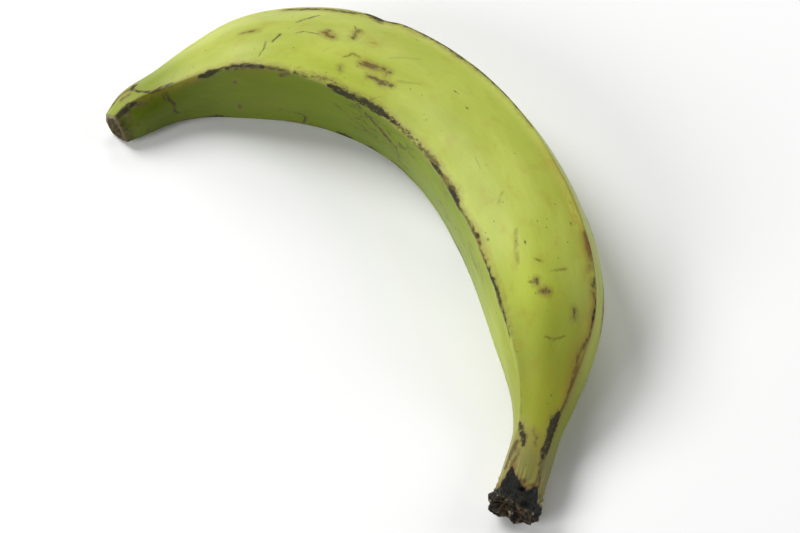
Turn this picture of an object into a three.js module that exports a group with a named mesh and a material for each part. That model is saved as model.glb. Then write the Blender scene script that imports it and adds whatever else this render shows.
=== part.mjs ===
// A green plantain lying on its side: one fruit as grown, from the blossom end to the torn stem end.
// Millimetres, +Z up. The blossom end is at -X, the stem end at +X, and the fruit bulges toward +Y.
// The origin is under the middle of the fruit's box, on the surface that the fruit lies on.
//
// The fruit is a skin around a bent middle line. A place on the skin has a distance along that line
// from the blossom end and an angle around it. The angle is 0 on the outer side of the bend, 90 on
// top, 180 on the inner side and 270 below.
import * as THREE from 'three';

const FRUIT_LENGTH = 303.5;

// Stations are pairs of a distance and the value there, and a smooth curve runs through them.
const HEADING = [[0, 92], [16, 80], [30, 69], [46, 56.5], [75, 41], [105, 21], [135, 1],
  [165, -15], [200, -26.3], [232, -37.8], [262, -53], [282, -57.5], [FRUIT_LENGTH, -58]];
const RADIUS = [[0, 6.4], [8, 8.8], [22, 10.3], [35, 13.8], [50, 18.5], [65, 20.8], [90, 22.3], [120, 23.1],
  [150, 23.9], [185, 24.1], [212, 23.2], [230, 20.6], [246, 15.8], [258, 11.6], [270, 8.8], [284, 8.6],
  [FRUIT_LENGTH, 8.4]];
const WIDEST_RADIUS = 24.1;

// Five soft ridges run along the fruit. Each one has its angle at stations, its height as a share of
// the radius, and how flat the face is that follows it, from 0 for round to 1 for plane.
const RIDGES = [
  { angle: [[0, 31], [60, 22], [150, 48], [205, 43], [232, 35], [250, 39], [265, 46], [285, 45],
    [FRUIT_LENGTH, 34]], reach: 1, flat: 0.45 },
  { angle: [[0, 88], [30, 115], [60, 131], [100, 146], [150, 149], [200, 144], [235, 138], [265, 132],
    [FRUIT_LENGTH, 133]], reach: 1.02, flat: 0.6 },
  { angle: [[0, 207], [60, 217], [150, 213], [FRUIT_LENGTH, 205]], reach: 1, flat: 0.45 },
  { angle: [[0, 300], [60, 316], [150, 320], [FRUIT_LENGTH, 310]], reach: 1, flat: 0.5 },
  { angle: [[0, 350], [FRUIT_LENGTH, 360]], reach: 0.97, flat: 0.5 },
];
const KEEL_HEIGHT = 0.55;
const KEEL_WIDTH = 1.8;

// Wide low swellings and hollows that a grown fruit has, and one nick across the outer upper ridge.
const SWELL_HEIGHT = 0.35;
const SWELL_LENGTH = 31;
const NICK = { distance: 98.5, angle: 34, depth: 0.9, length: 3.5, spread: 12 };

// The stem end was torn off its bunch. It flares, its edge is ragged, and dry knobs stand on it.
const TEAR_START = FRUIT_LENGTH - 7;
const FLARE_HEIGHT = 0.3;
const TEAR_DEPTH = 1.2;
const SHORTER_SIDE = 215;
const KNOBS = [
  { distance: 299.5, angle: 168, height: 1.4, size: 2.2 },
  { distance: 301, angle: 128, height: 0.9, size: 2 },
  { distance: 300, angle: 78, height: 0.9, size: 2.2 },
  { distance: 300, angle: 12, height: 1.4, size: 2.4 },
  { distance: 301.5, angle: 330, height: 1.1, size: 2 },
  { distance: 300.5, angle: 222, height: 1, size: 2.3 },
];
const STEM_CUP_DEPTH = 2.6;
const STEM_FIBRE_HEIGHT = 0.9;

// The blossom end is a small blunt scar with a rim and a dried stub in the middle.
const SCAR_RIM_HEIGHT = 0.5;
const SCAR_STUB_HEIGHT = 1.1;
const SCAR_STUB_SHARE = 0.3;

// The fruit touches the surface at three places, and arches a little between them.
const FIRST_REST = 12;
const REST_SPACING = 136;
const ARCH_HEIGHT = 1.5;
const REST_FLATTENING = 0.6;
const TORN_END_CLEARANCE = 2;

// Mesh: rings along the fruit, columns over each face, and smaller rings over each end.
const RING_COUNT = 76;
const RING_CROWDING = 0.62;
const FACE_SHARES = [0, 0.05, 0.15, 0.29, 0.43, 0.57, 0.71, 0.85, 0.95];
const CAP_SHARES = [0.86, 0.66, 0.44, 0.22];
const LINE_STEP = 0.5;

const PEEL_COLOUR = 0xb6c14c;
const PEEL_ROUGHNESS = 0.5;

const radians = THREE.MathUtils.degToRad;
const TURN = 2 * Math.PI;

// Smooth curve through stations, with each inner slope taken from its two neighbours.
function along(stations, distance) {
  const last = stations.length - 1;
  const slope = (index) => {
    const [d0, v0] = stations[Math.max(index - 1, 0)];
    const [d1, v1] = stations[Math.min(index + 1, last)];
    return (v1 - v0) / (d1 - d0);
  };
  let index = 0;
  while (index < last - 1 && distance > stations[index + 1][0]) {
    index += 1;
  }
  const [d0, v0] = stations[index];
  const [d1, v1] = stations[index + 1];
  const span = d1 - d0;
  const t = THREE.MathUtils.clamp((distance - d0) / span, 0, 1);
  const rise = t * t * (3 - 2 * t);
  const leave = t * (1 - t) * (1 - t) * span * slope(index);
  const arrive = t * t * (t - 1) * span * slope(index + 1);
  return v0 + (v1 - v0) * rise + leave + arrive;
}

function bump(offset, size) {
  return Math.exp(-((offset / size) ** 2));
}

function angleBetween(a, b) {
  return Math.abs(Math.atan2(Math.sin(a - b), Math.cos(a - b)));
}

// Middle line in plan, as a list of points LINE_STEP apart, from the heading.
function middleLine() {
  const points = [{ x: 0, y: 0 }];
  const count = Math.round(FRUIT_LENGTH / LINE_STEP);
  for (let step = 0; step < count; step += 1) {
    const heading = radians(along(HEADING, (step + 0.5) * LINE_STEP));
    const { x, y } = points[step];
    points.push({ x: x + Math.cos(heading) * LINE_STEP, y: y + Math.sin(heading) * LINE_STEP });
  }
  return points;
}

function planPoint(line, distance) {
  const place = THREE.MathUtils.clamp(distance / LINE_STEP, 0, line.length - 1);
  const index = Math.min(Math.floor(place), line.length - 2);
  const share = place - index;
  const a = line[index];
  const b = line[index + 1];
  return { x: a.x + (b.x - a.x) * share, y: a.y + (b.y - a.y) * share };
}

// Angle around the section, and radius of the plain five-sided section, at a share of one face.
function section(distance, face, share) {
  const from = RIDGES[face];
  const to = RIDGES[(face + 1) % RIDGES.length];
  const start = radians(along(from.angle, distance));
  const end = radians(along(to.angle, distance)) + (face === RIDGES.length - 1 ? TURN : 0);
  const angle = start + (end - start) * share;
  const radius = along(RADIUS, distance);
  const a = radius * from.reach;
  const b = radius * to.reach;
  const plane = (a * b * Math.sin(end - start)) / (a * Math.sin(angle - start) + b * Math.sin(end - angle));
  const round = a + (b - a) * share * share * (3 - 2 * share);
  const toRidge = Math.min(angle - start, end - angle) * radius;
  const keel = KEEL_HEIGHT * (radius / WIDEST_RADIUS) * bump(toRidge, KEEL_WIDTH);
  return { angle, radius: round + (plane - round) * from.flat + keel };
}

function swell(distance, angle) {
  const wander = Math.sin(distance / SWELL_LENGTH + 1.7 * Math.cos(angle));
  const ripple = Math.sin((2.3 * distance) / SWELL_LENGTH + 2 * angle);
  return SWELL_HEIGHT * (wander + 0.5 * ripple) * Math.sin((Math.PI * distance) / FRUIT_LENGTH);
}

function nick(distance, angle) {
  const across = angleBetween(angle, radians(NICK.angle)) / radians(NICK.spread);
  return NICK.depth * bump(distance - NICK.distance, NICK.length) * bump(across, 1);
}

function tornShare(distance) {
  return THREE.MathUtils.smoothstep(distance, TEAR_START, FRUIT_LENGTH);
}

// Radial height of the flare, its lumps and the dry knobs.
function tornHeight(distance, angle, radius) {
  const lumps = 0.5 * Math.sin(5 * angle + 0.7) + 0.35 * Math.sin(9 * angle + 2.1);
  let height = FLARE_HEIGHT * (1 + lumps) * tornShare(distance);
  for (const knob of KNOBS) {
    const across = angleBetween(angle, radians(knob.angle)) * radius;
    height += knob.height * bump(Math.hypot(across, distance - knob.distance), knob.size);
  }
  return height;
}

// How far the torn edge reaches out along the middle line.
function tearReach(angle) {
  const wide = 0.3 * Math.sin(2 * angle + 0.9) - 0.7 * Math.cos(angle - radians(SHORTER_SIDE));
  const fine = 0.3 * Math.sin(5 * angle + 2) + 0.25 * Math.sin(8 * angle);
  return TEAR_DEPTH * (wide + fine);
}

// One ring of the skin: its frame on the middle line and its spots.
function makeRing(line, distance) {
  const spots = [];
  RIDGES.forEach((ridge, face) => {
    for (const share of FACE_SHARES) {
      const { angle, radius } = section(distance, face, share);
      const body = radius + swell(distance, angle) - nick(distance, angle);
      spots.push({ angle, body, radius: body + tornHeight(distance, angle, body) });
    }
  });
  const below = Math.max(...spots.map((spot) => -spot.body * Math.sin(spot.angle)));
  const arch = ARCH_HEIGHT * Math.sin((Math.PI * (distance - FIRST_REST)) / REST_SPACING) ** 2;
  const heading = radians(along(HEADING, distance));
  const { x, y } = planPoint(line, distance);
  return {
    distance,
    spots,
    centre: new THREE.Vector3(x, y, below + arch + TORN_END_CLEARANCE * tornShare(distance)),
    forward: new THREE.Vector3(Math.cos(heading), Math.sin(heading), 0),
    outward: new THREE.Vector3(-Math.sin(heading), Math.cos(heading), 0),
  };
}

// A point at a radius and angle, moved ahead along the middle line.
function ringPoint(ring, angle, radius, ahead) {
  return ring.centre.clone()
    .addScaledVector(ring.outward, radius * Math.cos(angle))
    .addScaledVector(ring.forward, ahead)
    .add(new THREE.Vector3(0, 0, radius * Math.sin(angle)));
}

// Rings crowd toward both ends, where the shape changes fastest.
function ringDistance(index) {
  const share = index / (RING_COUNT - 1);
  return FRUIT_LENGTH * (share - (RING_CROWDING * Math.sin(TURN * share)) / TURN);
}

// Blossom scar: a low rim, a shallow dish and a stub, all standing back toward -X.
function scarDepth(share) {
  const rim = SCAR_RIM_HEIGHT * bump(share - 0.8, 0.18);
  return -(rim + SCAR_STUB_HEIGHT * bump(share, SCAR_STUB_SHARE));
}

// Torn face: the ragged edge falls into a cup with fibre ends standing in it.
function tornDepth(share, angle) {
  const cup = STEM_CUP_DEPTH * (share * share - 1);
  const fibres = Math.sin(3 * angle + 6 * share) + 0.6 * Math.sin(7 * angle - 9 * share + 1);
  return tearReach(angle) * share + cup + STEM_FIBRE_HEIGHT * fibres * share * (1.4 - share);
}

function fruitPoints() {
  const line = middleLine();
  const rows = [];
  const rings = [];
  for (let index = 0; index < RING_COUNT; index += 1) {
    rings.push(makeRing(line, ringDistance(index)));
  }
  const first = rings[0];
  const last = rings[RING_COUNT - 1];
  const capRow = (ring, share, depth) => ring.spots.map(
    (spot) => ringPoint(ring, spot.angle, spot.radius * share, depth(share, spot.angle)));
  const blossomMiddle = ringPoint(first, 0, 0, scarDepth(0));
  const stemMiddle = ringPoint(last, 0, 0, tornDepth(0, 0));
  for (const share of [...CAP_SHARES].reverse()) {
    rows.push(capRow(first, share, scarDepth));
  }
  for (const ring of rings) {
    rows.push(ring.spots.map((spot) => {
      const ahead = tearReach(spot.angle) * tornShare(ring.distance);
      return ringPoint(ring, spot.angle, spot.radius, ahead);
    }));
  }
  for (const share of CAP_SHARES) {
    rows.push(capRow(last, share, tornDepth));
  }
  return { rows, blossomMiddle, stemMiddle };
}

// Moves the fruit over the origin and presses small flats where it rests.
function settle(points) {
  const box = new THREE.Box3().setFromPoints(points);
  const middle = box.getCenter(new THREE.Vector3());
  for (const point of points) {
    point.x -= middle.x;
    point.y -= middle.y;
    point.z = Math.max(point.z - box.min.z - REST_FLATTENING, 0);
  }
}

// Faces between neighbouring rows, then a fan over each end.
function fruitFaces(rowCount, columnCount) {
  const faces = [];
  const vertex = (row, column) => row * columnCount + (column % columnCount);
  for (let row = 0; row < rowCount - 1; row += 1) {
    for (let column = 0; column < columnCount; column += 1) {
      const a = vertex(row, column);
      const b = vertex(row, column + 1);
      const c = vertex(row + 1, column + 1);
      const d = vertex(row + 1, column);
      faces.push(a, b, c, a, c, d);
    }
  }
  const blossomMiddle = rowCount * columnCount;
  const stemMiddle = blossomMiddle + 1;
  for (let column = 0; column < columnCount; column += 1) {
    faces.push(blossomMiddle, vertex(0, column + 1), vertex(0, column));
    faces.push(stemMiddle, vertex(rowCount - 1, column), vertex(rowCount - 1, column + 1));
  }
  return faces;
}

function fruitGeometry() {
  const { rows, blossomMiddle, stemMiddle } = fruitPoints();
  const points = [...rows.flat(), blossomMiddle, stemMiddle];
  settle(points);
  const geometry = new THREE.BufferGeometry().setFromPoints(points);
  geometry.setIndex(fruitFaces(rows.length, rows[0].length));
  geometry.computeVertexNormals();
  return geometry;
}

const peel = new THREE.MeshStandardMaterial({ color: PEEL_COLOUR, roughness: PEEL_ROUGHNESS, metalness: 0 });
const plantain = new THREE.Mesh(fruitGeometry(), peel);
plantain.name = 'plantain';

const model = new THREE.Group();
model.add(plantain);

export default model;
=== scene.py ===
"""A green plantain lying on a white table: the fine skin, its colours and scuffs, and the light."""
import math

import bpy
import numpy as np
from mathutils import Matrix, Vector


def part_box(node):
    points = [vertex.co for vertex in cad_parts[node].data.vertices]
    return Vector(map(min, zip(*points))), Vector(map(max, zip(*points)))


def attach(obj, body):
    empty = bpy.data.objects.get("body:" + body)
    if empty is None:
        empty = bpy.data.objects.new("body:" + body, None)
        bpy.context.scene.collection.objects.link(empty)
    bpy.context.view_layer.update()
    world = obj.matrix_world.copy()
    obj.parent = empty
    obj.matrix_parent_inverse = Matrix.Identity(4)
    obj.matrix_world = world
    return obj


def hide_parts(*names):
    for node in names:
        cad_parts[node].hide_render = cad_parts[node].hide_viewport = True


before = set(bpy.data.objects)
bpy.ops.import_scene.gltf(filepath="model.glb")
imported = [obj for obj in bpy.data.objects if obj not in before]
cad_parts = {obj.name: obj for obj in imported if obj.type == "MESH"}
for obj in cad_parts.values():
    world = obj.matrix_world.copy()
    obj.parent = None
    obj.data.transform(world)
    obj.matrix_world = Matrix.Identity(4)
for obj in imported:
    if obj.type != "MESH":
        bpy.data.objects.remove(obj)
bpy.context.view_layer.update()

# Shape, in millimetres and degrees, as in the part. A station is a distance along the middle line
# from the blossom end, then the value there. Angles run around the section: 0 is the outer side of
# the bend, 90 the top, 180 the inner side and 270 the underside.
TURN = 2 * math.pi
FRUIT_LENGTH = 303.5
HEADING = [(0, 92), (16, 80), (30, 69), (46, 56.5), (75, 41), (105, 21), (135, 1), (165, -15), (200, -26.3),
           (232, -37.8), (262, -53), (282, -57.5), (FRUIT_LENGTH, -58)]
RADIUS = [(0, 6.4), (8, 8.8), (22, 10.3), (35, 13.8), (50, 18.5), (65, 20.8), (90, 22.3), (120, 23.1),
          (150, 23.9), (185, 24.1), (212, 23.2), (230, 20.6), (246, 15.8), (258, 11.6), (270, 8.8),
          (284, 8.6), (FRUIT_LENGTH, 8.4)]
WIDEST_RADIUS = 24.1

# Ridges: angle stations, height as a share of the radius, flatness of the face that follows.
OUTER_UPPER = [(0, 31), (60, 22), (150, 48), (205, 43), (232, 35), (250, 39), (265, 46), (285, 45),
               (FRUIT_LENGTH, 34)]
INNER_UPPER = [(0, 88), (30, 115), (60, 131), (100, 146), (150, 149), (200, 144), (235, 138), (265, 132),
               (FRUIT_LENGTH, 133)]
INNER_LOWER = [(0, 207), (60, 217), (150, 213), (FRUIT_LENGTH, 205)]
OUTER_LOWER = [(0, 300), (60, 316), (150, 320), (FRUIT_LENGTH, 310)]
BACK = [(0, 350), (FRUIT_LENGTH, 360)]
RIDGES = [(OUTER_UPPER, 1, 0.45), (INNER_UPPER, 1.02, 0.6), (INNER_LOWER, 1, 0.45), (OUTER_LOWER, 1, 0.5),
          (BACK, 0.97, 0.5)]
KEEL_HEIGHT = 0.55
KEEL_WIDTH = 1.8
# Swells of the body, with the twist in radians.
SWELL_HEIGHT = 0.35
SWELL_LENGTH = 31
SWELL_TWIST = 1.7
RIPPLE_SHARE = 0.5
RIPPLE_RATE = 2.3
NICK = {"distance": 98.5, "angle": 34, "depth": 0.9, "length": 3.5, "spread": 12}

TEAR_START = FRUIT_LENGTH - 7
FLARE_HEIGHT = 0.3
TEAR_DEPTH = 1.2
TEAR_SLANT = 0.7
SHORTER_SIDE = 215
# Waves around the torn end: share of the height, crests, start in radians.
TEAR_LUMPS = [(0.5, 5, 0.7), (0.35, 9, 2.1)]
TEAR_TEETH = [(0.3, 2, 0.9), (0.3, 5, 2), (0.25, 8, 0)]
# Dry knobs on the torn end: distance, angle, height, size.
KNOBS = [(299.5, 168, 1.4, 2.2), (301, 128, 0.9, 2), (300, 78, 0.9, 2.2), (300, 12, 1.4, 2.4),
         (301.5, 330, 1.1, 2), (300.5, 222, 1, 2.3)]
STEM_CUP_DEPTH = 2.6
STEM_FIBRE_HEIGHT = 0.9
STEM_FIBRE_SPREAD = 1.4
# Fibres in the torn end: share of the height, crests, twist from middle to edge, start in radians.
STEM_FIBRES = [(1, 3, 6, 0), (0.6, 7, -9, 1)]
SCAR_RIM_HEIGHT = 0.5
SCAR_RIM_SHARE = 0.8
SCAR_RIM_WIDTH = 0.18
SCAR_STUB_HEIGHT = 1.1
SCAR_STUB_SHARE = 0.3

FIRST_REST = 12
REST_SPACING = 136
ARCH_HEIGHT = 1.5
REST_FLATTENING = 0.6
TORN_END_CLEARANCE = 2

# Fine mesh.
RING_COUNT = 470
RING_CROWDING = 0.3
FACE_COLUMNS = 36
COLUMN_CROWDING = 0.35
CAP_ROWS = 16
LINE_STEP = 0.5

# Fine relief that the peel has besides its main shape, in millimetres. Waves and the twist are in
# radians for each millimetre, and crests are counted around the section.
DENT_HEIGHT = 0.05
DENT_COUNT = 14
DENT_WAVES = (0.1, 0.5)
DENT_CRESTS = (1, 7)
FIBRE_HEIGHT = 0.2
FIBRE_START = 283
FIBRE_CRESTS = (11, 37)
FIBRE_COUNT = 7
FIBRE_TWIST = 0.004
CRUMPLE_HEIGHT = 0.5
CUP_CRUMPLE_HEIGHT = 0.8
CRUMPLE_START = 289
CRUMPLE_COUNT = 24
CRUMPLE_WAVES = (1.0, 3.2)
TIP_HEIGHT = 0.12
TIP_END = 14
TIP_CRESTS = (9, 25)
TIP_COUNT = 5
RELIEF_SEED = 7

# Texture map: the strip of peel lies above a band that holds the two ends as discs.
STRIP_LOW = 0.12
STRIP_HIGH = 0.998
DISC_RADIUS = 0.052
FIRST_DISC = (0.06, 0.06)
LAST_DISC = (0.18, 0.06)

# Surface finish.
PEEL_ROUGHNESS = 0.42
DULL_ROUGHNESS = 0.75
DRY_ROUGHNESS = 0.5
PEEL_GLOSS = 0.24
RELIEF_DEPTH = 0.00012

# View, floor and light, in metres and degrees. The photo's right lies PHOTO_TURN round from +X.
PHOTO_TURN = 48.63
PHOTO_RISE = 55
CAMERA_AIM = (0.01397, -0.02023, 0.02)
CAMERA_DISTANCE = 1.1
CAMERA_LENS = 140.24
CAMERA_NEAREST = 0.01
FLOOR_SIZE = 8
FLOOR_WHITE = 0.95
FLOOR_ROUGHNESS = 0.9
LIGHT_DISTANCE = 2.4
# Name, direction as right, away and up in the photo, size across and power in watts.
LIGHTS = [("window", (-0.7, 0.5, 0.8), 1.36, 46), ("left_wall", (-0.8, -0.6, 0.5), 1.36, 32),
          ("right_wall", (1.0, 0.1, 0.6), 1.36, 14), ("back_wall", (0.0, 1.0, 0.7), 1.36, 14)]
ROOM_STRENGTH = 0.08


def along(stations, distance):
    """Smooth curve through stations, with each inner slope taken from its two neighbours."""
    knots, values = np.array(stations, float).T
    slopes = np.empty_like(values)
    slopes[1:-1] = (values[2:] - values[:-2]) / (knots[2:] - knots[:-2])
    slopes[0] = (values[1] - values[0]) / (knots[1] - knots[0])
    slopes[-1] = (values[-1] - values[-2]) / (knots[-1] - knots[-2])
    distance = np.asarray(distance, float)
    index = np.clip(np.searchsorted(knots, distance, side="right") - 1, 0, len(knots) - 2)
    span = knots[index + 1] - knots[index]
    t = np.clip((distance - knots[index]) / span, 0, 1)
    rise = t * t * (3 - 2 * t)
    leave = t * (1 - t) ** 2 * span * slopes[index]
    arrive = t * t * (t - 1) * span * slopes[index + 1]
    return values[index] + (values[index + 1] - values[index]) * rise + leave + arrive


def bump(offset, size):
    return np.exp(-(offset / size) ** 2)


def smooth_step(value, low, high):
    t = np.clip((value - low) / (high - low), 0, 1)
    return t * t * (3 - 2 * t)


def turn_to(angle, target):
    """Signed angle in radians from target to angle, between minus and plus half a turn."""
    return np.arctan2(np.sin(angle - target), np.cos(angle - target))


def ridge_angle(stations, distance):
    return np.radians(along(stations, distance))


def section(distance):
    """Angles and radii of the plain section, one row for each distance, FACE_COLUMNS for each face."""
    even = np.arange(FACE_COLUMNS) / FACE_COLUMNS
    share = even - COLUMN_CROWDING * np.sin(TURN * even) / TURN
    radius = along(RADIUS, distance)[:, None]
    angles = []
    radii = []
    for face, (stations, reach, flat) in enumerate(RIDGES):
        last = face == len(RIDGES) - 1
        next_stations, next_reach, _ = RIDGES[(face + 1) % len(RIDGES)]
        start = ridge_angle(stations, distance)[:, None]
        end = ridge_angle(next_stations, distance)[:, None] + (TURN if last else 0)
        angle = start + (end - start) * share
        a = radius * reach
        b = radius * next_reach
        plane = a * b * np.sin(end - start) / (a * np.sin(angle - start) + b * np.sin(end - angle))
        rounded = a + (b - a) * share * share * (3 - 2 * share)
        to_ridge = np.minimum(angle - start, end - angle) * radius
        keel = KEEL_HEIGHT * radius / WIDEST_RADIUS * bump(to_ridge, KEEL_WIDTH)
        angles.append(angle)
        radii.append(rounded + (plane - rounded) * flat + keel)
    return np.hstack(angles), np.hstack(radii)


def swell(distance, angle):
    wander = np.sin(distance / SWELL_LENGTH + SWELL_TWIST * np.cos(angle))
    ripple = RIPPLE_SHARE * np.sin(RIPPLE_RATE * distance / SWELL_LENGTH + 2 * angle)
    return SWELL_HEIGHT * (wander + ripple) * np.sin(math.pi * distance / FRUIT_LENGTH)


def nick(distance, angle):
    across = turn_to(angle, math.radians(NICK["angle"])) / math.radians(NICK["spread"])
    return NICK["depth"] * bump(distance - NICK["distance"], NICK["length"]) * bump(across, 1)


def torn_share(distance):
    return smooth_step(distance, TEAR_START, FRUIT_LENGTH)


def crests(angle, ripples):
    """Sum of waves around the section, each with its height, number of crests and start."""
    return sum(height * np.sin(count * angle + start) for height, count, start in ripples)


def torn_height(distance, angle, radius):
    height = FLARE_HEIGHT * (1 + crests(angle, TEAR_LUMPS)) * torn_share(distance)
    for knob_distance, knob_angle, knob_height, size in KNOBS:
        across = turn_to(angle, math.radians(knob_angle)) * radius
        height = height + knob_height * bump(np.hypot(across, distance - knob_distance), size)
    return height


def tear_reach(angle):
    slant = TEAR_SLANT * np.cos(angle - math.radians(SHORTER_SIDE))
    return TEAR_DEPTH * (crests(angle, TEAR_TEETH) - slant)


def waves(angle, crest_range, count, random):
    """Waves around the section with a random count of crests each, for fibres and wrinkles."""
    total = 0
    for _ in range(count):
        total = total + np.sin(random.integers(*crest_range) * angle + random.uniform(0, TURN))
    return total / math.sqrt(count)


def crumple(distance, angle, radius):
    """Random small lumps in all directions, from about -1 to 1, as on dry torn fibre."""
    random = np.random.default_rng(RELIEF_SEED + 1)
    across = radius * np.cos(angle)
    place = np.stack([distance + 0 * across, across, radius * np.sin(angle)], axis=-1)
    total = 0
    for _ in range(CRUMPLE_COUNT):
        direction = random.normal(size=3)
        direction = direction / np.linalg.norm(direction) * random.uniform(*CRUMPLE_WAVES)
        total = total + np.sin(place @ direction + random.uniform(0, TURN))
    return total / math.sqrt(CRUMPLE_COUNT)


def fine_relief(distance, angle, radius):
    """Low dents on the faces, wrinkles at the blossom end, fibres and lumps at the dry stem end."""
    random = np.random.default_rng(RELIEF_SEED)
    dents = 0
    for _ in range(DENT_COUNT):
        length = random.uniform(*DENT_WAVES)
        around = random.integers(*DENT_CRESTS)
        dents = dents + np.sin(length * distance + around * angle + random.uniform(0, TURN))
    fibres = waves(angle + FIBRE_TWIST * distance, FIBRE_CRESTS, FIBRE_COUNT, random)
    wrinkles = waves(angle, TIP_CRESTS, TIP_COUNT, random)
    relief = DENT_HEIGHT * dents / math.sqrt(DENT_COUNT) * np.sin(math.pi * distance / FRUIT_LENGTH)
    relief = relief + FIBRE_HEIGHT * fibres * smooth_step(distance, FIBRE_START, TEAR_START)
    lumps = crumple(distance, angle, radius) * smooth_step(distance, CRUMPLE_START, TEAR_START)
    return relief + CRUMPLE_HEIGHT * lumps + TIP_HEIGHT * wrinkles * smooth_step(-distance, -TIP_END, 0)


def ring_distances():
    share = np.linspace(0, 1, RING_COUNT)
    return FRUIT_LENGTH * (share - RING_CROWDING * np.sin(TURN * share) / TURN)


def middle_line(distance):
    """Plan place of the middle line and its heading in radians."""
    steps = round(FRUIT_LENGTH / LINE_STEP)
    heading = np.radians(along(HEADING, (np.arange(steps) + 0.5) * LINE_STEP))
    x = np.concatenate([[0], np.cumsum(np.cos(heading)) * LINE_STEP])
    y = np.concatenate([[0], np.cumsum(np.sin(heading)) * LINE_STEP])
    knots = np.arange(steps + 1) * LINE_STEP
    here = np.radians(along(HEADING, distance))
    return np.interp(distance, knots, x), np.interp(distance, knots, y), here


def scar_depth(share):
    rim = SCAR_RIM_HEIGHT * bump(share - SCAR_RIM_SHARE, SCAR_RIM_WIDTH)
    return -(rim + SCAR_STUB_HEIGHT * bump(share, SCAR_STUB_SHARE))


def torn_depth(share, angle):
    cup = STEM_CUP_DEPTH * (share * share - 1)
    ripples = [(high, count, twist * share + start) for high, count, twist, start in STEM_FIBRES]
    fibres = STEM_FIBRE_HEIGHT * crests(angle, ripples) * share * (STEM_FIBRE_SPREAD - share)
    lumps = CUP_CRUMPLE_HEIGHT * crumple(FRUIT_LENGTH, angle, RADIUS[-1][1] * share)
    return tear_reach(angle) * share + cup + fibres + lumps * np.sqrt(1 - share * share)


def skin():
    """The whole skin: points in rows from the blossom middle to the stem middle, with the fruit
    coordinates of each point: distance, angle and radius. The end rows shrink to a point."""
    distance = ring_distances()
    angle, radius = section(distance)
    column = distance[:, None]
    body = radius + swell(column, angle) - nick(column, angle)
    outer = body + torn_height(column, angle, body) + fine_relief(column, angle, body)
    below = np.max(-body * np.sin(angle), axis=1)
    arch = ARCH_HEIGHT * np.sin(math.pi * (distance - FIRST_REST) / REST_SPACING) ** 2
    height = below + arch + TORN_END_CLEARANCE * torn_share(distance)
    ahead = tear_reach(angle) * torn_share(column)
    x, y, heading = middle_line(distance)

    shares = np.linspace(0, 1, CAP_ROWS + 1)[:-1, None]
    first = np.zeros(CAP_ROWS, int)
    last = np.full(CAP_ROWS, RING_COUNT - 1)
    rows = np.concatenate([first, np.arange(RING_COUNT), last])
    share = np.concatenate([shares, np.ones((RING_COUNT, 1)), shares[::-1]])
    angle = angle[rows]
    radius = outer[rows] * share
    reach = ahead[rows]
    reach[:CAP_ROWS] = scar_depth(shares)
    reach[-CAP_ROWS:] = torn_depth(shares[::-1], angle[-CAP_ROWS:])
    side = radius * np.cos(angle)
    turn = heading[rows][:, None]
    points = np.stack([
        x[rows][:, None] - np.sin(turn) * side + np.cos(turn) * reach,
        y[rows][:, None] + np.cos(turn) * side + np.sin(turn) * reach,
        height[rows][:, None] + radius * np.sin(angle)], axis=-1)
    past_end = (1 - share) * outer[rows]
    distances = distance[rows][:, None] + past_end * np.sign(rows - RING_COUNT / 2)[:, None]
    return points, distances, angle, radius, share


def settle(points, low, high):
    """Presses the resting flats, and fits the skin into the part's own box."""
    points[..., 2] -= points[..., 2].min() + REST_FLATTENING
    points[..., 2] = np.maximum(points[..., 2], 0)
    flat = points.reshape(-1, 3)
    own_low = flat.min(axis=0)
    own_size = flat.max(axis=0) - own_low
    size = np.array(high) - np.array(low)
    return np.array(low) + (points - own_low) / own_size * size


# Marks on the peel. A stroke is a list of points: distance, place across and half width in mm.
# Across is an offset from a ridge in mm, toward rising angles, or an angle in degrees on a face.
INNER_RIDGE_DARK = [
    [(0, 0, 1), (1.4, 0.3, 1), (4, 0.7, 1.2), (6, 0.7, 1.1), (8, 1, 0.7)],
    [(34, 0.8, 0.7), (37, 0.5, 1.2), (40, 0.4, 1.1), (43, 0, 0.5)],
    [(45, 0.2, 0.4), (50, 0, 0.6), (57, 0, 0.6), (61, 0, 0.3)],
    [(74, 0, 0.7), (75.5, 0, 0.6)],
    [(90, 0, 0.6), (94, 0.2, 1.5), (101, 0.2, 1.5), (106, -0.4, 1.2), (112, -0.8, 1.4), (118, -0.8, 1.3),
     (124, -0.9, 0.6), (131, -1, 0.25), (140, -1, 0.3), (148, -0.9, 0.1)],
    [(157, 0.2, 0.4), (161, 0, 0.8), (165, -0.2, 0.4)],
    [(172, 0, 0.7), (177, 0.3, 1.5), (181, 1, 1.1), (184, 1, 0.4)],
    [(195, -0.3, 0.15), (199, -0.6, 0.45), (203, -0.6, 0.15)],
    [(213, 0.3, 0.6), (219, 0.2, 0.8), (226, 0.2, 0.9), (233, 0.5, 0.7), (242, 0.9, 0.45)],
]
INNER_RIDGE_BROWN = [
    [(7.7, 1.2, 0.9), (9.6, 2.1, 0.8), (12, 3, 0.5)],
    [(43, 0, 0.6), (52, 0, 1.1), (60, 0, 0.9), (71, 0, 0.5)],
    [(77, 0, 0.5), (80, 0, 0.4)],
    [(82, -0.8, 0.3), (88, -1.2, 0.4), (93, -1.6, 0.3)],
    [(122, -0.7, 0.8), (136, -0.6, 0.45), (146, -0.3, 0.5), (152, -0.8, 0.9), (158, -0.6, 1),
     (164, -0.2, 0.7), (169, 0, 1), (175, 0, 1.8), (182, 0.8, 1)],
    [(184, 0.4, 0.6), (192, 0.2, 0.6), (200, -0.4, 0.8), (204, -0.4, 0.5)],
    [(205, 0.5, 0.7), (212, 0.2, 0.7)],
    [(227, 1.2, 0.5), (232, 1.9, 0.4)],
]
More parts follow.
